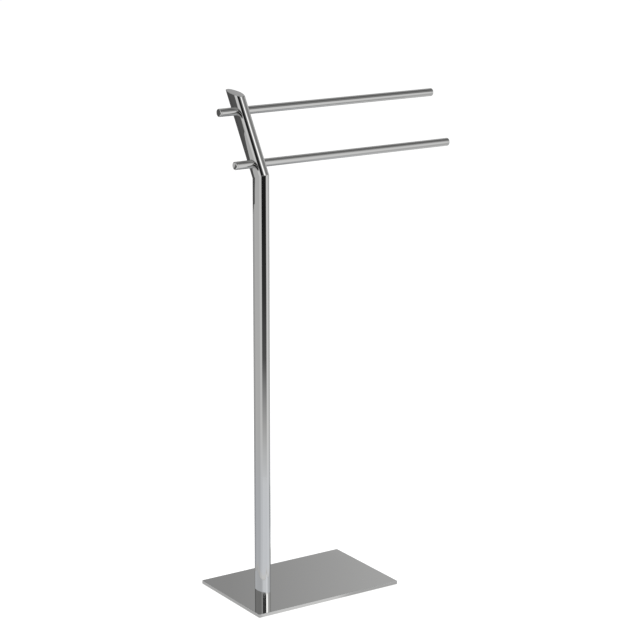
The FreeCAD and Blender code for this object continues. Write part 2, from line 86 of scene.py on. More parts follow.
# The flanks' arc meets the nose arc with one common tangent.
FLANK_RADIUS = ((HALF_DEPTH ** 2 + HALF_WIDTH ** 2 - 2 * HALF_DEPTH * NOSE_RADIUS)
                / (2 * (HALF_WIDTH - NOSE_RADIUS)))
JOINT_ANGLE = math.atan2(HALF_DEPTH - NOSE_RADIUS, FLANK_RADIUS - HALF_WIDTH)
MITRE = math.tan(LEAN / 2)
TOP_RISE = math.tan(LEAN + TOP_SLOPE)
CAP_SEAT = HEAD_LENGTH - CAP_THICKNESS / math.cos(LEAN + TOP_SLOPE)

# ---------------------------------------------------------------- meshes


def new_piece(name, points, face_groups, stands_for):
    """Puts points and groups of faces into a smooth mesh that rides on the stand and replaces its node."""
    mesh = bpy.data.meshes.new(name)
    faces = [face for group in face_groups for face in group.tolist()]
    mesh.from_pydata(points.tolist(), [], faces)
    mesh.polygons.foreach_set("use_smooth", np.ones(len(mesh.polygons), bool))
    mesh.update()
    mesh.set_sharp_from_angle(angle=SHARP_EDGE)
    piece = bpy.data.objects.new(name, mesh)
    bpy.context.scene.collection.objects.link(piece)
    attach(piece, "root")
    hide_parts(stands_for)
    return piece


def grid_faces(rows, columns, closed=True, looped=False):
    """Quads of a grid of rows of points, each row the next one up.

    Closed joins the ends of each row, and looped joins the last row to the first.
    """
    row, column = np.meshgrid(np.arange(rows if looped else rows - 1),
                              np.arange(columns if closed else columns - 1), indexing="ij")
    right = (column + 1) % columns
    above = (row + 1) % rows
    quads = np.stack([row * columns + column, row * columns + right,
                      above * columns + right, above * columns + column], -1)
    return quads.reshape(-1, 4)


def fan_faces(ring, centre, upward=True):
    """Triangles from a ring of points to one point, which close a grid above its last row.

    With upward false they close it below its first row.
    """
    ahead = np.roll(ring, -1)
    pair = (ring, ahead) if upward else (ahead, ring)
    return np.stack([*pair, np.full(len(ring), centre)], -1)


def oval(direction, inset=0.0):
    """Tube section: each point is its arc's centre plus the arc's radius along the direction.

    The direction is also the outward normal, so an inset only shortens both radii.
    """
    across, along = np.cos(direction), np.sin(direction)
    on_nose = np.abs(along) > math.sin(JOINT_ANGLE) + 1e-9
    radius = np.where(on_nose, NOSE_RADIUS, FLANK_RADIUS) - inset
    centre_x = np.where(on_nose, 0, (HALF_WIDTH - FLANK_RADIUS) * np.sign(across))
    centre_w = np.where(on_nose, (HALF_DEPTH - NOSE_RADIUS) * np.sign(along), 0)
    return centre_x + radius * across, centre_w + radius * along


FLANK_CELLS = 48
NOSE_CELLS = 40


def oval_directions():
    """Directions round the section, evenly spaced on each arc, from the right flank's front end."""
    flank = np.linspace(-JOINT_ANGLE, JOINT_ANGLE, FLANK_CELLS, endpoint=False)
    nose = np.linspace(JOINT_ANGLE, math.pi - JOINT_ANGLE, NOSE_CELLS, endpoint=False)
    return np.concatenate([flank, nose, flank + math.pi, nose + math.pi])


AROUND = oval_directions()


def head_place(x, w, rise):
    """From the head's own axes (across, depth, along its axis from the bend) to the stand's."""
    return np.stack([x, w * math.cos(LEAN) + rise * math.sin(LEAN),
                     BEND_HEIGHT - w * math.sin(LEAN) + rise * math.cos(LEAN)], -1)


def crease(steps=9):
    """Half of the mitre's rounding: an arc of half the lean, as (sideways, along) from the corner."""
    turn = np.linspace(0, LEAN / 2, steps)
    sideways = CREASE_RADIUS * (1 - np.cos(turn))
    along = CREASE_RADIUS * np.sin(turn) - CREASE_RADIUS * MITRE
    return sideways, along


# Rows of the post's straight length and of its bore, as shares of the height. Rows close to an end keep
# the shading straight up to it.
POST_ROWS = (0, 0.002, 0.25, 0.5, 0.75, 0.97, 0.999)
BORE_ROWS = (1, 0.5, 0)


def polished_post():
    """Every point of the oval goes straight up, and its last millimetre follows the mitre's rounding.

    The bore comes down again at the wall's thickness inside, and both ends are closed by the wall.
    """
    x, y = oval(AROUND)
    corner = BEND_HEIGHT - y * MITRE
    sideways, along = crease()
    foot = post_low.z
    straight = [np.stack([x, y, foot + (corner + along[0] - foot) * share], -1) for share in POST_ROWS]
    bend = [np.stack([x, y + side, corner + up], -1) for side, up in zip(sideways, along)]
    bore_x, bore_y = oval(AROUND, TUBE_WALL)
    bore_top = BEND_HEIGHT - bore_y * MITRE + along[-1]
    bore = [np.stack([bore_x, bore_y, foot + (bore_top - foot) * share], -1) for share in BORE_ROWS]
    rows = np.array(straight + bend + bore)
    faces = grid_faces(len(rows), len(x), looped=True)
    return new_piece("polished_post", rows.reshape(-1, 3), [faces], "post_tube")


PATCH_HALF = 9 * MM             # half the height of the patch of small cells round a bar's hole
PATCH_ROWS = 18
FLANK_PATCH = 12                # half the width of a bar hole's patch, in cells
NOSE_PATCH = 14                 # half the width of a grub screw hole's patch, in cells
KEY_ROWS = 5                    # half the height of a grub screw hole's patch, in cells
RING_STEPS = 7                  # rings from a patch's outline to the hole
HOLE_TURNS = 6                  # rings round the hole's broken edge
BELOW_PATCH = (0.02, 0.35, 0.7)         # rows up to a patch, as shares of the way
ABOVE_PATCH = (0.35, 0.7, 0.98, 1)      # rows from the last patch to the cut

# The direction in which each hole looks, and the radius of the oval's arc there.
HOLE_SIDES = {"right": (0, FLANK_RADIUS), "left": (math.pi, FLANK_RADIUS),
              "back": (math.pi / 2, NOSE_RADIUS)}


def patch_outline(first_row, rows, first_column, columns):
    """Row and column of each point round a patch of the head's grid, in the order its faces turn."""
    up, across = np.arange(rows), np.arange(columns)
    row = np.concatenate([np.full(columns, 0), up, np.full(columns, rows), rows - up])
    column = np.concatenate([across, np.full(rows, columns), columns - across, np.full(rows, 0)])
    return np.stack([first_row + row, first_column + column], -1)


def head_wall(bar_rises, inset):
    """Rows of points up the head at a depth inside its surface, from the mitre to the slanted cut.

    Gives the points, how far up the head each one is, and the row where each bar's patch starts.
    """
    x, w = oval(AROUND, inset)
    sideways, along = crease()
    levels = [w * MITRE - up for up in along[::-1]]
    shifts = list(sideways[::-1])
    first_rows = []
    for rise in bar_rises:
        start = levels[-1]
        levels += [start + (rise - PATCH_HALF - start) * share for share in BELOW_PATCH]
        first_rows.append(len(levels))
        levels += [np.full(len(x), rise + step)
                   for step in np.linspace(-PATCH_HALF, PATCH_HALF, PATCH_ROWS + 1)]
    start = levels[-1]
    cut = CAP_SEAT + w * TOP_RISE
    levels += [start + (cut - start) * share for share in ABOVE_PATCH]
    shifts += [0] * (len(levels) - len(shifts))
    rises = np.array(levels)
    points = [head_place(x, w + shift, rise) for shift, rise in zip(shifts, rises)]
    return np.concatenate(points), rises, first_rows


def head_holes(bar_rises, first_rows, bar_radius):
    """Each hole's side, the patch of cells that it takes, its height up the head and its radius."""
    hole_radius = bar_radius + BAR_HOLE_GAP
    right = FLANK_CELLS // 2
    left = FLANK_CELLS + NOSE_CELLS + right
    back = FLANK_CELLS + NOSE_CELLS // 2
    holes = []
    for rise, row in zip(bar_rises, first_rows):
        for side, middle in (("right", right), ("left", left)):
            patch = (row, PATCH_ROWS, middle - FLANK_PATCH, 2 * FLANK_PATCH)
            holes.append((side, patch, rise, hole_radius))
        patch = (row + PATCH_ROWS // 2 - KEY_ROWS, 2 * KEY_ROWS, back - NOSE_PATCH, 2 * NOSE_PATCH)
        holes.append(("back", patch, rise, KEY_HOLE_RADIUS))
    return holes


def hole_rings(radius):
    """Rings through a hole: each one's radius, its share of the way from the outline, and its depth.

    The broken edge is a quarter circle from the head's surface into the hole.
    """
    shares = np.linspace(0, 1, RING_STEPS + 1)[1:]
    turns = np.linspace(0, math.pi / 2, HOLE_TURNS + 1)[1:]
    towards = [(radius + HOLE_EDGE, share, 0) for share in shares]
    edge = [(radius + HOLE_EDGE * (1 - math.sin(turn)), 1, HOLE_EDGE * (1 - math.cos(turn)))
            for turn in turns]
    away = [(radius, share, TUBE_WALL) for share in shares[::-1]]
    return towards + edge + away


def polished_head(bar_rises, bar_radius):
    """The oval along the leaning axis, outside and bore, from the mitre to the slanted cut.

    Round each hole a patch of both grids gives way to rings that blend from the outer patch's outline
    to the hole's circle, roll over its broken edge, go through the wall and blend out to the bore's
    patch.
    """
    outside, rises, first_rows = head_wall(bar_rises, 0)
    bore = head_wall(bar_rises, TUBE_WALL)[0]
    columns = len(AROUND)
    quads = grid_faces(len(rises), columns).reshape(len(rises) - 1, columns, 4)
    keep = np.ones(quads.shape[:2], bool)
    points = [outside, bore]
    count = 2 * len(outside)
    ring_faces = []
    for side, patch, rise, radius in head_holes(bar_rises, first_rows, bar_radius):
        row, rows, column, span = patch
        keep[row:row + rows, column:column + span] = False
        outline = patch_outline(*patch)
        middle, arc_radius = HOLE_SIDES[side]
        outline_side = arc_radius * np.sin(AROUND[outline[:, 1]] - middle)
        outline_rise = rises[outline[:, 0], outline[:, 1]]
        spoke = np.arctan2(outline_rise - rise, outline_side)
        rings = [outline[:, 0] * columns + outline[:, 1]]
        for ring_radius, share, inset in hole_rings(radius):
            across = outline_side + (ring_radius * np.cos(spoke) - outline_side) * share
            up = outline_rise + (rise + ring_radius * np.sin(spoke) - outline_rise) * share
            ring_x, ring_w = oval(middle + np.arcsin(across / arc_radius), inset)
            points.append(head_place(ring_x, ring_w, up))
            rings.append(np.arange(count, count + len(across)))
            count += len(across)
        rings.append(len(outside) + rings[0])
        for outer, inner in zip(rings, rings[1:]):
            ring_faces.append(np.stack([outer, np.roll(outer, -1), np.roll(inner, -1), inner], -1))
    foot = np.arange(columns)
    top = len(outside) - columns + foot
    for edge in (foot[::-1], top):
        ahead = np.roll(edge, -1)
        ring_faces.append(np.stack([edge, ahead, len(outside) + ahead, len(outside) + edge], -1))
    wall_faces = [quads[keep], len(outside) + quads[keep][:, ::-1]]
    return new_piece("polished_head", np.concatenate(points), wall_faces + ring_faces, "head_tube")


CAP_RIM_STEPS = 9
CAP_WALL_ROW = 0.1              # a row below the rim, as a share of the wall's height
CAP_FACE_INSETS = (CAP_RIM + 0.1 * MM, 3 * MM, 6 * MM)      # rings of the flat face


def polished_cap():
    """The head's closing plate: up the tube's outline, round a rim and over the flat slanted face.

    The rim is a quadratic curve from the wall to the face, with the corner as its control point.
    """
    x, w = oval(AROUND)
    top = HEAD_LENGTH + w * TOP_RISE
    seat = CAP_SEAT + w * TOP_RISE
    corner = head_place(x, w, top)
    wall_end = head_place(x, w, top - CAP_RIM)
    inner_x, inner_w = oval(AROUND, CAP_RIM)
    face_start = head_place(inner_x, inner_w, HEAD_LENGTH + inner_w * TOP_RISE)
    wall_start = head_place(x, w, seat)
    rows = [wall_start, wall_end + (wall_start - wall_end) * CAP_WALL_ROW]
    for share in np.linspace(0, 1, CAP_RIM_STEPS):
        rows.append((1 - share) ** 2 * wall_end + 2 * share * (1 - share) * corner
                    + share ** 2 * face_start)
    for inset in CAP_FACE_INSETS:
        inner_x, inner_w = oval(AROUND, inset)
        rows.append(head_place(inner_x, inner_w, HEAD_LENGTH + inner_w * TOP_RISE))
    rows = np.array(rows)
    middles = head_place(np.zeros(2), np.zeros(2), np.array([CAP_SEAT, HEAD_LENGTH]))
    points = np.concatenate([rows.reshape(-1, 3), middles])
    first = np.arange(len(x))
    last = len(points) - 2 - len(x) + first
    faces = [grid_faces(len(rows), len(x)), fan_faces(first, len(points) - 2, upward=False),
             fan_faces(last, len(points) - 1)]
    return new_piece("polished_head_cap", points, faces, "head_cap")


def arc(centre_x, centre_r, radius, start, end, steps=7):
    """Points of an arc in a turned profile, as (along the bar, from its axis). Angles are in degrees."""
    turn = np.radians(np.linspace(start, end, steps))
    return [(centre_x + radius * math.cos(t), centre_r + radius * math.sin(t)) for t in turn]


BAR_CELLS = 96                  # round a bar


def turned(name, profile, axis_y, axis_z, stands_for, solid=False):
    """A profile of (x, radius) turned about a line along X at (axis_y, axis_z).

    A tube's profile is a loop, and a solid's is closed on the axis at both ends. Faces point outwards
    on a profile whose outside runs along +X, so those of one that runs the other way are turned round.
    """
    profile = np.array(profile)
    turn = np.linspace(0, 2 * math.pi, BAR_CELLS, endpoint=False)
    along = np.repeat(profile[:, :1], BAR_CELLS, 1)
    across = profile[:, 1:]
    rows = np.stack([along, axis_y + across * np.cos(turn), axis_z + across * np.sin(turn)], -1)
    points = rows.reshape(-1, 3)
    faces = [grid_faces(len(rows), BAR_CELLS, looped=not solid)]
    if solid:
        ends = np.array([(profile[end, 0], axis_y, axis_z) for end in (0, -1)])
        first = np.arange(BAR_CELLS)
        faces.append(fan_faces(first, len(points), upward=False))
        faces.append(fan_faces(first + len(points) - BAR_CELLS, len(points) + 1))
        points = np.concatenate([points, ends])
    piece = new_piece(name, points, faces, stands_for)
    if solid and profile[-1, 0] < profile[0, 0]:
        piece.data.flip_normals()
    return piece


BAR_ROWS = (0.002, 0.25, 0.5, 0.75, 0.998)      # as shares of a bar's length


def polished_bar(level):
    """A straight round tube with both outer edges broken by a small round."""
    low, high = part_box(f"{level}_bar")
    radius = (high.y - low.y) / 2
    middle_y, middle_z = (low.y + high.y) / 2, (low.z + high.z) / 2
    profile = arc(low.x + SEAM_EDGE, radius - SEAM_EDGE, SEAM_EDGE, 180, 90)
    profile += [(low.x + (high.x - low.x) * share, radius) for share in BAR_ROWS]
    profile += arc(high.x - SEAM_EDGE, radius - SEAM_EDGE, SEAM_EDGE, 90, 0)
    profile += [(high.x, radius - BAR_WALL), (low.x, radius - BAR_WALL)]
    return turned(f"polished_{level}_bar", profile, middle_y, middle_z, f"{level}_bar")


END_CAP_SIDE = (0.5 * MM, END_CAP_LENGTH - END_CAP_RIM - 0.2 * MM)      # rows of its straight side
END_FACE_ROWS = (0.97, 0.8, 0.6, 0.4, 0.2, 0.03)        # rings of its face, as shares of the radius


def polished_end_cap(level, side):
    """A turned plug: small round at the seam, side, rounded rim and a faintly dished face.

    The dish is a parabola, deepest on the axis.
    """
    low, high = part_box(f"{level}_bar")
    radius = (high.y - low.y) / 2
    middle_y, middle_z = (low.y + high.y) / 2, (low.z + high.z) / 2
    seam, outward = (high.x, 1) if side == "right" else (low.x, -1)
    face_radius = radius - END_CAP_RIM
    profile = arc(SEAM_EDGE, radius - SEAM_EDGE, SEAM_EDGE, 180, 90)
    profile += [(x, radius) for x in END_CAP_SIDE]
    profile += arc(END_CAP_LENGTH - END_CAP_RIM, face_radius, END_CAP_RIM, 90, 0, 12)
    profile += [(END_CAP_LENGTH - END_FACE_DISH * (1 - share ** 2), face_radius * share)
                for share in END_FACE_ROWS]
    profile = [(seam + outward * x, r) for x, r in profile]
    return turned(f"polished_{level}_bar_{side}_cap", profile, middle_y, middle_z,
                  f"{level}_bar_{side}_cap", solid=True)


def rounded_rectangle(half_x, half_y, corner, inset=0.0, steps=10):
    """Outline of a plate: quarter circles about four corner centres, joined by straight sides."""
    radius = max(corner - inset, 0)
    turn = np.linspace(0, math.pi / 2, steps)
    centre_x, centre_y = half_x - corner, half_y - corner
    points = []
    for quarter, (sign_x, sign_y) in enumerate(((1, 1), (-1, 1), (-1, -1), (1, -1))):
        angle = turn + quarter * math.pi / 2
        points.append(np.stack([sign_x * centre_x + radius * np.cos(angle),
                                sign_y * centre_y + radius * np.sin(angle)], -1))
    return np.concatenate(points)


def face_with_holes(points, loops, upward):
    """Flat triangles between an outline and the holes in it. Each loop is a row of point numbers.

    Triangles that face the wrong way are turned round, by the sign of their sides' cross product.
    """
    order = np.concatenate(loops)
    corners = [[Vector(point) for point in points[loop]] for loop in loops]
    triangles = np.array(tessellate_polygon(corners))
    start, one, two = np.moveaxis(points[order][triangles], 1, 0)
    turns_left = np.cross(one - start, two - start)[:, 2] > 0
    triangles[turns_left != upward] = triangles[turns_left != upward][:, ::-1]
    return order[triangles]


PLATE_EDGE_STEPS = 7
SCREW_HOLE_CELLS = 48


def polished_plate():
    """The outline carried up a profile: rounded lower edge, side, rounded upper edge, flat faces.

    Two countersunk holes go through it: circles carried up a cone of 45 degrees and a cylinder.
    """
    centre = (plate_low + plate_high) / 2
    half = (plate_high - plate_low) / 2
    turn = np.linspace(0, math.pi / 2, PLATE_EDGE_STEPS)
    lower = [(PLATE_EDGE * (1 - math.sin(t)), plate_low.z + PLATE_EDGE * (1 - math.cos(t)))
             for t in turn]
    upper = [(PLATE_EDGE * (1 - math.cos(t)), plate_high.z - PLATE_EDGE * (1 - math.sin(t)))
             for t in turn]
    flat = PLATE_EDGE + PLATE_MARGIN
    profile = [(flat, plate_low.z)] + lower + upper + [(flat, plate_high.z)]
    rows = []
    for inset, height in profile:
        outline = rounded_rectangle(half.x, half.y, PLATE_CORNER, inset)
        rows.append(np.column_stack([outline + (centre.x, centre.y), np.full(len(outline), height)]))
    rows = np.array(rows)
    columns = rows.shape[1]
    points = rows.reshape(-1, 3)
    faces = [grid_faces(len(rows), columns)]
    below = [np.arange(columns)]
    above = [len(points) - columns + np.arange(columns)]
    cone_top = plate_low.z + COUNTERSINK_RADIUS - SCREW_HOLE_RADIUS
    hole = np.array([(COUNTERSINK_RADIUS, plate_low.z), (SCREW_HOLE_RADIUS, cone_top),
                     (SCREW_HOLE_RADIUS, plate_high.z)])
    round_turn = np.linspace(0, 2 * math.pi, SCREW_HOLE_CELLS, endpoint=False)
    for hole_y in (-SCREW_SPACING / 2, SCREW_SPACING / 2):
        ring = np.stack([hole[:, :1] * np.cos(round_turn), hole_y + hole[:, :1] * np.sin(round_turn),
                         np.repeat(hole[:, 1:], SCREW_HOLE_CELLS, 1)], -1)
        faces.append(len(points) + grid_faces(len(hole), SCREW_HOLE_CELLS)[:, ::-1])
        below.append(len(points) + np.arange(SCREW_HOLE_CELLS))
        points = np.concatenate([points, ring.reshape(-1, 3)])
        above.append(len(points) - SCREW_HOLE_CELLS + np.arange(SCREW_HOLE_CELLS))
    faces.append(face_with_holes(points, below, upward=False))
    faces.append(face_with_holes(points, above, upward=True))
    return new_piece("polished_plate", points, faces, "base_plate")


# ---------------------------------------------------------------- materials


def linear(colour):
    """An sRGB hex value as linear red, green, blue and alpha."""
    parts = [int(colour[i:i + 2], 16) / 255 for i in (1, 3, 5)]
    return (*[p / 12.92 if p <= 0.04045 else ((p + 0.055) / 1.055) ** 2.4 for p in parts], 1)


def add(tree, kind, inputs=None, **settings):
    """Adds a shader node with its settings; an input is a value, or a socket to link."""
    made = tree.nodes.new("ShaderNode" + kind)
    for name, value in settings.items():
        setattr(made, name, value)
    for name, value in (inputs or {}).items():
        if isinstance(value, bpy.types.NodeSocket):
            tree.links.new(value, made.inputs[name])
        else:
            made.inputs[name].default_value = value
    return made


def new_material(name):
    """An empty node material and its output node."""
    material = bpy.data.materials.new(name)
    material.use_nodes = True
    material.node_tree.nodes.clear()
    return material, material.node_tree, add(material.node_tree, "OutputMaterial")


WAVE_HEIGHT = 0.004 * MM        # of the waves that buffing leaves
SMUDGE_SIZE = 35 * MM           # of the marks that wiping leaves
CLEAN_ROUGHNESS = 0.018
WIPED_ROUGHNESS = 0.05


def mirror_chrome(name, waves, tilt=(0, 0, 0)):
    """Bright nickel and chrome plate on buffed steel.

    It gives sharp reflections that waver a little, because the buffing wheel leaves shallow waves, and
    faint wiped marks that dull it in patches. The waves' lengths are given along X, Y and Z, after
    the coordinates have been turned by tilt.
    """
    material, tree, output = new_material(name)
    place = add(tree, "TexCoord").outputs["Object"]
    turned_place = add(tree, "Mapping", {"Vector": place, "Rotation": tilt})
    wave_place = add(tree, "Mapping", {"Vector": turned_place.outputs[0],
                                       "Scale": tuple(1 / w for w in waves)})
    wave = add(tree, "TexNoise", {"Vector": wave_place.outputs[0], "Scale": 1.0, "Detail": 1.0})
    bump = add(tree, "Bump", {"Height": wave.outputs["Fac"], "Distance": WAVE_HEIGHT, "Strength": 1.0})
    marks = add(tree, "TexNoise", {"Vector": place, "Scale": 1 / SMUDGE_SIZE, "Detail": 4.0,
                                   "Roughness": 0.6, "Distortion": 0.8})
    rough = add(tree, "MapRange", {"Value": marks.outputs["Fac"], "From Min": 0.45, "From Max": 0.75,
                                   "To Min": CLEAN_ROUGHNESS, "To Max": WIPED_ROUGHNESS})
    shader = add(tree, "BsdfPrincipled", {"Base Color": linear("#CECECD"), "Metallic": 1.0,
                                          "Roughness": rough.outputs[0],
                                          "Normal": bump.outputs[0]})
    tree.links.new(shader.outputs[0], output.inputs["Surface"])
    return material


def zinc_plated_steel():
    """Milled steel with a bright zinc coat: grey, with a soft mottle and fine cutter lines."""
    material, tree, output = new_material("zinc_plated_milled_steel")
    place = add(tree, "TexCoord").outputs["Object"]
    mottle = add(tree, "TexNoise", {"Vector": place, "Scale": 1 / (4 * MM), "Detail": 3.0})
    colour = add(tree, "ValToRGB", {"Fac": mottle.outputs["Fac"]})
    colour.color_ramp.elements[0].color = linear("#9EA3A6")
    colour.color_ramp.elements[1].color = linear("#C3C6C4")
    cutter = add(tree, "TexWave", {"Vector": place, "Scale": 1 / (1.2 * MM), "Distortion": 1.0},
                 bands_direction="Z")
    bump = add(tree, "Bump", {"Height": cutter.outputs["Fac"], "Distance": 0.01 * MM})
    shader = add(tree, "BsdfPrincipled", {"Base Color": colour.outputs[0], "Metallic": 1.0,
                                          "Roughness": 0.38, "Normal": bump.outputs[0]})
    tree.links.new(shader.outputs[0], output.inputs["Surface"])
    return material


def black_oxide_steel():
    """Hardened screw steel, blackened: nearly black, oily sheen, a little paler where it has rubbed."""
    material, tree, output = new_material("black_oxide_screw_steel")
    place = add(tree, "TexCoord").outputs["Object"]
    rub = add(tree, "TexNoise", {"Vector": place, "Scale": 1 / (1.5 * MM), "Detail": 3.0})
    colour = add(tree, "ValToRGB", {"Fac": rub.outputs["Fac"]})
    colour.color_ramp.elements[0].position = 0.45
    colour.color_ramp.elements[0].color = linear("#2B2C2E")
    colour.color_ramp.elements[1].position = 0.8
    colour.color_ramp.elements[1].color = linear("#5C5D5E")
    shader = add(tree, "BsdfPrincipled", {"Base Color": colour.outputs[0], "Metallic": 1.0,
                                          "Roughness": 0.35})
    tree.links.new(shader.outputs[0], output.inputs["Surface"])
    return material


def foam_rubber():
    """Closed-cell foam rubber, cut from sheet: matt charcoal with the fine grain of its cut cells."""
    material, tree, output = new_material("closed_cell_foam_rubber")
    place = add(tree, "TexCoord").outputs["Object"]
    cells = add(tree, "TexVoronoi", {"Vector": place, "Scale": 1 / (0.6 * MM)})
    colour = add(tree, "ValToRGB", {"Fac": cells.outputs["Distance"]})
    colour.color_ramp.elements[0].color = linear("#1C1C1D")
    colour.color_ramp.elements[1].color = linear("#38383A")
    bump = add(tree, "Bump", {"Height": cells.outputs["Distance"], "Distance": 0.1 * MM})
    shader = add(tree, "BsdfPrincipled", {"Base Color": colour.outputs[0], "Roughness": 0.85,
                                          "Normal": bump.outputs[0]})
    tree.links.new(shader.outputs[0], output.inputs["Surface"])
    return material


# ---------------------------------------------------------------- camera

VIEW_AZIMUTH = math.radians(-33.5185)
VIEW_ELEVATION = math.radians(14.4466)
VIEW_ROLL = math.radians(0.1231)
LENS = 121.664                  # mm
SENSOR = 36                     # mm
CLIP_END = 300                  # metres, beyond the floor's edge
AIM = Vector((0.123673, 0, 0.496151))
DISTANCE = 3.884082
VIEW_BACK = Vector((math.sin(VIEW_AZIMUTH) * math.cos(VIEW_ELEVATION),
                    -math.cos(VIEW_AZIMUTH) * math.cos(VIEW_ELEVATION), math.sin(VIEW_ELEVATION)))
VIEW_PLACE = AIM + VIEW_BACK * DISTANCE


def photo_camera():
    """A long lens that looks past the post's right side from in front, left and a little above."""
    level_right = Vector((math.cos(VIEW_AZIMUTH), math.sin(VIEW_AZIMUTH), 0))
    level_up = VIEW_BACK.cross(level_right)
    right = level_right * math.cos(VIEW_ROLL) + level_up * math.sin(VIEW_ROLL)
    up = VIEW_BACK.cross(right)
    camera = bpy.data.objects.new("camera", bpy.data.cameras.new("camera"))
    camera.data.sensor_width = SENSOR
    camera.data.lens = LENS
    camera.data.clip_end = CLIP_END
    turn = Matrix((right, up, VIEW_BACK)).transposed().to_4x4()
    camera.matrix_world = Matrix.Translation(VIEW_PLACE) @ turn
    bpy.context.scene.collection.objects.link(camera)
    bpy.context.scene.camera = camera


# ---------------------------------------------------------------- studio


def smooth_step(value, start, end):
    """0 before start, 1 after end, and between them three times the share's square less twice its cube."""
    share = np.clip((value - start) / (end - start), 0, 1)
    return share * share * (3 - 2 * share)


def between(value, low, high, soft):
    """1 between low and high, with soft edges of that whole width centred on both."""
    half = soft / 2
    return smooth_step(value, low - half, low + half) * (1 - smooth_step(value, high - half, high + half))


def sector(bearing, low, high, soft):
    """The same for a compass bearing in degrees, which may pass through 180."""
    middle = (low + high) / 2
    offset = (bearing - middle + 180) % 360 - 180
    return between(offset, low - middle, high - middle, soft)


# What the polished metal sees of the studio. Bearings are degrees from +Y towards +X, and an edge is
# the whole width over which something fades.
ROOM = 0.36
CEILING = 0.5
CEILING_RISE = (30, 52)         # elevations between which the walls turn into the ceiling
# Far panels: bearing from, to, edge; elevation from, to, edge; brightness. Later ones lie over earlier.
PANELS = {
    "left_wall": (-79, 12, 4, -5, 20.6, 1, 0.62),
    "left_strip": (-76, -62, 3, -5, 20.6, 1, 0.85),
    "left_strip_end": (-77, -69, 2, 20.6, 30, 1, 0.66),
    "left_corner": (-8, 20, 6, 20.6, 30, 1, 0.2),
    "right_wall": (60, 165, 12, -5, 16, 4, 0.86),
    "right_upper": (96, 165, 12, 16, 34, 6, 0.66),
    "right_fill": (148, 189, 12, 19, 34, 6, 1.0),
    "front_flag": (-118, -73.7, 1, -5, 20.6, 1.5, 0.022),
    "front_flag_end": (-118, -76.8, 1.5, 20.6, 26, 1.5, 0.085),
    "front_haze": (-122, -86, 6, 26, 40, 6, 0.27),
    "front_dark": (-185, -118, 4, -5, 20.6, 1, 0.05),
    "key_softbox": (-171, -122, 6, 20.6, 46.5, 3, 1.75),
    "key_softbox_middle": (-171, -112, 6, 25, 37, 3, 0.8),
    "key_softbox_low_edge": (-171, -122, 6, 20.6, 24, 1, 2.6),
    "key_softbox_low_end": (-134, -112, 2, 20.6, 24, 1, 0.06),
    "ceiling_flag": (72, 152, 12, 36, 64, 6, 0.15),
}
# The backdrop that the plate mirrors gets brighter to the right, and has a pale strip at its foot.
BACKDROP = ((22, 30.9, 35.4, 46), (0.3, 0.366, 0.547, 0.7))     # bearings, brightness
BACKDROP_SIDES = (22, 46, 6)
BACKDROP_LEVELS = (-5, 27, 4)
BACKDROP_STRIP = 0.17           # brightness that the strip adds
BACKDROP_STRIP_TOP = (20.2, 20.5)


def room_tone(bearing, elevation):
    """Brightness of the room in a direction: a grey room under a paler ceiling, with panels over it."""
    tone = ROOM + (CEILING - ROOM) * smooth_step(elevation, *CEILING_RISE)
    for low, high, side_edge, bottom, top, level_edge, brightness in PANELS.values():
        share = sector(bearing, low, high, side_edge) * between(elevation, bottom, top, level_edge)
        tone = tone + (brightness - tone) * share
    strip = BACKDROP_STRIP * (1 - smooth_step(elevation, *BACKDROP_STRIP_TOP))
    backdrop = np.interp(bearing, *BACKDROP) + strip
    return tone + (backdrop - tone) * sector(bearing, *BACKDROP_SIDES) * between(elevation, *BACKDROP_LEVELS)


FLOOR_TONE = 0.9
# Areas of the paper: bearing from, to, edge; brightness. Later ones lie over earlier.
FLOOR_AREAS = {
    "left": (-66, 14, 4, 0.63),
    "left_corner": (-17, 14, 8, 0.46),
    "left_strip": (-81, -66, 1, 0.77),
    "right": (90, 133, 10, 0.6),
    "far_right": (55, 90, 12, 0.76),
    "back": (8, 58, 8, 0.22),
}
# Two shades on the paper: bearing from, to, edge; distances in metres; the share of the light it takes.
FRONT_SHADE_SIDES = (-176, -160, 10)
FRONT_SHADE_START = (0.8, 2.4)
FRONT_SHADE = 0.6
RIGHT_SHADE_SIDES = (62, 106, 12)
RIGHT_SHADE_REACH = (0.35, 0.62, 0.12)
RIGHT_SHADE = 0.55
# The front of the paper falls into the dark: bearing from, to, edge; distances in metres, brightness.
DARK_FRONT_SIDES = (-166.5, -81.3, 0.6)
DARK_FRONT = ((0.65, 1.1, 1.6, 2.3, 3.4), (0.86, 0.5, 0.12, 0.05, 0.018))
# Painted shadow: a darker strip of the paper along the plate's left edge, which mirrors it.
PLATE_SHADOW_STRIP_X = (-86 * MM, -60 * MM, 6 * MM)
PLATE_SHADOW_STRIP_Y = (-130 * MM, 130 * MM, 6 * MM)
PLATE_SHADOW_TONE = 0.6
# Cooler light lies on the paper round the plate. It sets in at a gap from the plate's edges and fades
# out between two distances from the post.
COOL_LIGHT = np.array((0.975, 1.0, 1.05))
COOL_GAP = 40 * MM
COOL_EDGE = 30 * MM
COOL_END = (0.45, 1.1)


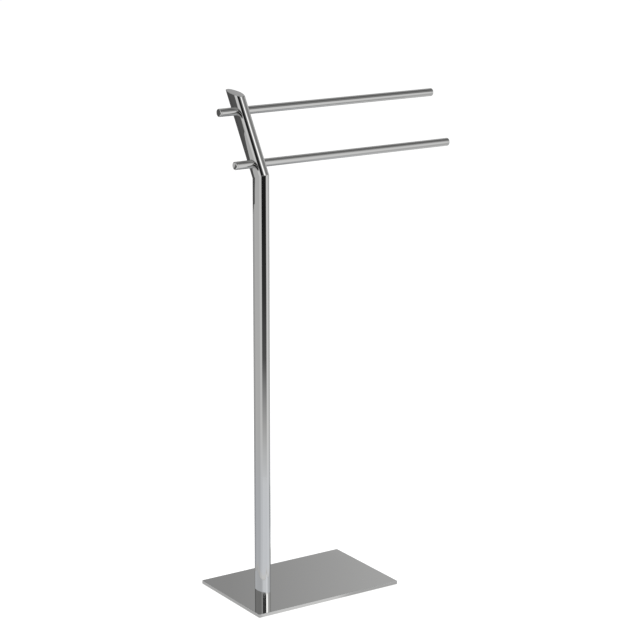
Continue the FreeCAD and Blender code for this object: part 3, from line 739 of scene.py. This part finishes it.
def floor_tone(x, y):
    """Brightness of the studio floor: white paper, unevenly lit, which ends in front of the stand."""
    bearing = np.degrees(np.arctan2(x, y))
    distance = np.hypot(x, y)
    tone = np.full(x.shape, FLOOR_TONE)
    for low, high, edge, brightness in FLOOR_AREAS.values():
        tone = tone + (brightness - tone) * sector(bearing, low, high, edge)
    far_front = sector(bearing, *FRONT_SHADE_SIDES) * FRONT_SHADE
    tone = tone * (1 - far_front * smooth_step(distance, *FRONT_SHADE_START))
    near_right = sector(bearing, *RIGHT_SHADE_SIDES) * between(distance, *RIGHT_SHADE_REACH)
    tone = tone * (1 - RIGHT_SHADE * near_right)
    dark_front = sector(bearing, *DARK_FRONT_SIDES)
    tone = tone + (np.minimum(tone, np.interp(distance, *DARK_FRONT)) - tone) * dark_front
    # painted shadow of the plate: the paper is darker in a strip along the plate's left edge
    plate_shadow_strip = between(x, *PLATE_SHADOW_STRIP_X) * between(y, *PLATE_SHADOW_STRIP_Y)
    return tone + (PLATE_SHADOW_TONE - tone) * plate_shadow_strip


def floor_colour(x, y):
    """The floor's brightness as a colour: a neutral grey, which is a little cooler round the plate."""
    by_plate = (between(x, plate_low.x - COOL_GAP, plate_high.x + COOL_GAP, COOL_EDGE)
                * between(y, plate_low.y - COOL_GAP, plate_high.y + COOL_GAP, COOL_EDGE))
    cool = (1 - by_plate) * (1 - smooth_step(np.hypot(x, y), *COOL_END))
    return floor_tone(x, y)[..., None] * (1 + (COOL_LIGHT - 1) * cool[..., None])


CARD_CELLS = 60
# Near cards stand upright on an arc about the stand: bearings, heights of the lower edge there, heights
# of the upper edge, distance, brightness. Lengths are metres.
CARDS = {
    "black_flag_behind_left": ((-56, -53.8, -46, -38, -29, -20, 12),
                               (0.93, 0.845, 0.775, 0.69, 0.59, 0.53, 0.495), (1.15,) * 7, 1.0, 0.125),
    "black_flag_near_left": ((-23.5, 12), (0.603, 0.603), (0.8, 0.8), 0.6, 0.1),
    "strip_light_in_front": ((-178, -80), (1.02, 1.02), (1.192, 1.192), 3.0, 1.4),
}
# A flat grey flag in front of the bars and above them: the upper bar mirrors more of it.
FLAG_BY_BARS_Y = -0.3
FLAG_BY_BARS_SIDES = (0.04, 1.4)
FLAG_BY_BARS_LEVELS = (1.015, 1.5)
FLAG_BY_BARS_TONE = 0.28


def tone_mesh(name, points, faces, tones):
    """A stage mesh that carries its brightness at every point, for what polished metal sees.

    A point's tone is one number for a grey, or three for a colour.
    """
    mesh = bpy.data.meshes.new(name)
    mesh.from_pydata(points.tolist(), [], faces.tolist())
    colours = np.ones((len(points), 4), np.float32)
    colours[:, :3] = np.reshape(tones, (len(points), -1))
    layer = mesh.attributes.new("tone", "FLOAT_COLOR", "POINT")
    layer.data.foreach_set("color", colours.ravel())
    stage = bpy.data.objects.new(name, mesh)
    bpy.context.scene.collection.objects.link(stage)
    return stage


def reflected_tone(tree):
    """Emission of the mesh's own brightness."""
    tone = add(tree, "Attribute", attribute_name="tone", attribute_type="GEOMETRY")
    return add(tree, "Emission", {"Color": tone.outputs["Color"], "Strength": 1.0})


PAPER = (0.85, 0.85, 0.85, 1)
FLOOR_LIFT = 0.53               # brightness added where the camera looks, so that the paper is white
FLOOR_START = 0.02              # radius of the first ring, which the plate covers
FLOOR_SPREAD = 90.0
FLOOR_RINGS = 110
FLOOR_CELLS = 720


def studio_floor():
    """White paper floor: a polar grid whose rings grow by a steady factor. It keeps shadows."""
    turn = np.linspace(0, 2 * math.pi, FLOOR_CELLS, endpoint=False)
    reach = np.geomspace(FLOOR_START, FLOOR_SPREAD, FLOOR_RINGS)
    distance, angle = np.meshgrid(reach, turn, indexing="ij")
    x, y = distance * np.cos(angle), distance * np.sin(angle)
    points = np.stack([x, y, np.zeros_like(x)], -1).reshape(-1, 3)
    faces = grid_faces(len(reach), len(turn))[:, ::-1]
    floor = tone_mesh("studio_floor", points, faces, floor_colour(x, y))
    material, tree, output = new_material("white_paper_floor")
    path = add(tree, "LightPath")
    diffuse = add(tree, "BsdfDiffuse", {"Color": PAPER})
    lift = add(tree, "Math", {0: path.outputs["Is Camera Ray"], 1: FLOOR_LIFT}, operation="MULTIPLY")
    glow = add(tree, "Emission", {"Color": (1, 1, 1, 1), "Strength": lift.outputs[0]})
    lit = add(tree, "AddShader", {0: diffuse.outputs[0], 1: glow.outputs[0]})
    sharp = add(tree, "Math", {0: path.outputs["Is Glossy Ray"],
                               1: path.outputs["Is Transmission Ray"]}, operation="MAXIMUM")
    seen = add(tree, "MixShader", {0: sharp.outputs[0], 1: lit.outputs[0],
                                   2: reflected_tone(tree).outputs[0]})
    tree.links.new(seen.outputs[0], output.inputs["Surface"])
    material.cycles.emission_sampling = "NONE"
    floor.data.materials.append(material)


def studio_cards():
    """Flags and a strip light on arcs round the stand, and a flat flag. Only polished metal sees them."""
    for name, (bearings, bottoms, tops, distance, brightness) in CARDS.items():
        bearing = np.linspace(bearings[0], bearings[-1], CARD_CELLS)
        turn = np.radians(bearing)
        rows = [np.stack([distance * np.sin(turn), distance * np.cos(turn),
                          np.interp(bearing, bearings, heights)], -1)
                for heights in (bottoms, tops)]
        points = np.concatenate(rows)
        card = tone_mesh(name, points, grid_faces(2, len(bearing), closed=False),
                         np.full(len(points), brightness))
        reflected_only(card)
    corners = np.array([(x, FLAG_BY_BARS_Y, z) for z in FLAG_BY_BARS_LEVELS for x in FLAG_BY_BARS_SIDES])
    flag = tone_mesh("grey_flag_by_bars", corners, grid_faces(2, 2, closed=False),
                     np.full(len(corners), FLAG_BY_BARS_TONE))
    reflected_only(flag)


RING_GAP = 300 * MM             # from the foot of the post to the inner edge of the ring
RING_WIDTH = 120 * MM
RING_WIDTH_RIGHT = 260 * MM
RING_WIDENS = (-206, -196)      # bearings between which the right side's width gives way to RING_WIDTH
RING_LAYER = 0.1 * MM           # between its two layers
RING_STEEPNESS = math.radians(17.5)     # of the reflections that fall on top of the ring
RING_CELLS = 180
RING_ROWS = 16
# Brightness of the ring's underside by bearing, from the right, round the front and the left, to the back.
RING_BEARINGS = (-267, -233, -206, -183, -160, -139, -117, -83, -77, -71, -65, 8)
RING_TONES = (0.82, 0.9, 1.03, 1.2, 1.42, 1.52, 1.33, 1.33, 1.14, 0.98, 0.9, 0.9)


def studio_ring():
    """A level card round the foot, open to the back right, in two layers that show below and above.

    The plate mirrors the underside into the lowest part of the post. The inner edge lies on the rays
    that leave the post's foot as steeply as the camera looks down on it, so the post's own image in
    the plate sees past the ring. Each of those rays leaves the oval where it faces halfway between the
    ray and the camera. The upper layer is as bright as the floor that it hides.
    """
    to_camera = math.degrees(math.atan2(VIEW_PLACE.x, VIEW_PLACE.y))
    slope = (VIEW_PLACE.z - plate_high.z) / math.hypot(VIEW_PLACE.x, VIEW_PLACE.y)
    height = plate_high.z + RING_GAP * slope
    bearing = np.linspace(RING_BEARINGS[0], RING_BEARINGS[-1], RING_CELLS)
    facing = np.radians((bearing + to_camera) / 2)
    foot_x, foot_y = oval(math.pi / 2 - facing)
    turn = np.radians(bearing)

    def place(distance):
        return foot_x + distance * np.sin(turn), foot_y + distance * np.cos(turn)

    under_colour = np.interp(bearing, RING_BEARINGS, RING_TONES)[:, None] * COOL_LIGHT
    hidden = height / math.tan(RING_STEEPNESS)
    right_share = 1 - smooth_step(bearing, *RING_WIDENS)
    width = RING_WIDTH + (RING_WIDTH_RIGHT - RING_WIDTH) * right_share
    distances = [RING_GAP + width * share for share in np.linspace(0, 1, RING_ROWS)]
    for name, drop in (("white_ring_underside", -RING_LAYER), ("white_ring_top", 0)):
        points = [np.stack([*place(d), np.full_like(turn, height + drop)], -1) for d in distances]
        tones = [under_colour if drop else floor_colour(*place(d + hidden)) for d in distances]
        faces = grid_faces(RING_ROWS, RING_CELLS, closed=False)
        reflected_only(tone_mesh(name, np.concatenate(points), faces, np.concatenate(tones)))


def reflected_only(stage):
    """Gives a stage mesh its own brightness as light, and lets only polished metal see it."""
    material, tree, output = new_material(stage.name + "_light")
    tree.links.new(reflected_tone(tree).outputs[0], output.inputs["Surface"])
    material.cycles.emission_sampling = "NONE"
    stage.data.materials.append(material)
    stage.visible_camera = False
    stage.visible_diffuse = False
    stage.visible_shadow = False


ROOM_RADIUS = 110.0
ROOM_CELL = 0.5                 # degrees
ROOM_FINE_CELL = 0.05
ROOM_FINE = (21, 22)
ROOM_BOTTOM = -2                # degrees
ROOM_TOP = 90.01                # just past the zenith, so that the last row is there


def studio_room():
    """A dome that only polished metal sees, with the room's brightness on it, from just below level up.

    Its cells are half a degree, and finer at the elevations that the post's image in the plate looks at.
    """
    bearing = np.radians(np.arange(0, 360, ROOM_CELL))
    elevation = np.radians(np.concatenate([np.arange(ROOM_BOTTOM, ROOM_FINE[0], ROOM_CELL),
                                           np.arange(*ROOM_FINE, ROOM_FINE_CELL),
                                           np.arange(ROOM_FINE[1], ROOM_TOP, ROOM_CELL)]))
    level, side = np.meshgrid(elevation, bearing, indexing="ij")
    points = ROOM_RADIUS * np.stack([np.cos(level) * np.sin(side), np.cos(level) * np.cos(side),
                                     np.sin(level)], -1).reshape(-1, 3)
    tones = room_tone((np.degrees(side) + 180) % 360 - 180, np.degrees(level)).ravel()
    room = tone_mesh("studio_room", points, grid_faces(*level.shape), tones)
    reflected_only(room)


SURROUND = 0.6                  # strength of the white surround as light; the camera sees it as white
LAMP_SIZE = (1.6, 1.2)
LAMP_POWER = 45                 # watts
LAMP_PLACE = Vector((-1.5, -1.9, 2.3))
LAMP_AIM = Vector((0, 0, 0.4))


def studio_light():
    """A white surround and one large soft lamp, which light what isn't polished."""
    world = bpy.data.worlds.new("white_surround")
    world.use_nodes = True
    tree = world.node_tree
    tree.nodes.clear()
    path = add(tree, "LightPath")
    level = add(tree, "MapRange", {"Value": path.outputs["Is Camera Ray"], "To Min": SURROUND,
                                   "To Max": 1.0})
    ground = add(tree, "Background", {"Color": (1, 1, 1, 1), "Strength": level.outputs[0]})
    add(tree, "OutputWorld", {"Surface": ground.outputs[0]})
    bpy.context.scene.world = world
    lamp = bpy.data.lights.new("key_softbox", "AREA")
    lamp.shape = "RECTANGLE"
    lamp.size, lamp.size_y = LAMP_SIZE
    lamp.energy = LAMP_POWER
    key = bpy.data.objects.new("key_softbox", lamp)
    bpy.context.scene.collection.objects.link(key)
    key.location = LAMP_PLACE
    key.rotation_euler = (LAMP_AIM - LAMP_PLACE).to_track_quat("-Z", "Y").to_euler()
    key.visible_glossy = False
    key.visible_camera = False


# ---------------------------------------------------------------- the stand

bpy.context.scene.view_settings.view_transform = "Standard"
photo_camera()
studio_light()
studio_floor()
studio_room()
studio_cards()
studio_ring()

BAR_LEVELS = ("lower", "upper")
bar_low, bar_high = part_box("lower_bar")
bar_radius = (bar_high.y - bar_low.y) / 2
bar_rises = [((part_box(f"{level}_bar")[0].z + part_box(f"{level}_bar")[1].z) / 2 - BEND_HEIGHT)
             / math.cos(LEAN) for level in BAR_LEVELS]

LEAN_TILT = (LEAN, 0, 0)        # brings the head's axis upright for its pattern
post_chrome = mirror_chrome("mirror_chrome_on_upright_tube", (9 * MM, 9 * MM, 120 * MM))
head_chrome = mirror_chrome("mirror_chrome_on_leaning_tube", (9 * MM, 9 * MM, 120 * MM), LEAN_TILT)
bar_chrome = mirror_chrome("mirror_chrome_on_round_bar", (90 * MM, 6 * MM, 6 * MM))
plate_chrome = mirror_chrome("mirror_chrome_on_flat_plate", (45 * MM, 30 * MM, 30 * MM))

polished_post().data.materials.append(post_chrome)
polished_head(bar_rises, bar_radius).data.materials.append(head_chrome)
polished_cap().data.materials.append(head_chrome)
polished_plate().data.materials.append(plate_chrome)
for bar_level in BAR_LEVELS:
    polished_bar(bar_level).data.materials.append(bar_chrome)
    for bar_side in ("left", "right"):
        polished_end_cap(bar_level, bar_side).data.materials.append(bar_chrome)

# These nodes show as the frame has them, each in a material of its own kind.
finishes = {
    zinc_plated_steel(): ("post_foot_block", "lower_bar_block", "upper_bar_block"),
    black_oxide_steel(): ("base_screws", "bar_grub_screws"),
    foam_rubber(): ("base_mat",),
}
for finish, names in finishes.items():
    for node_name in names:
        for material_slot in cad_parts[node_name].material_slots:
            material_slot.material = finish
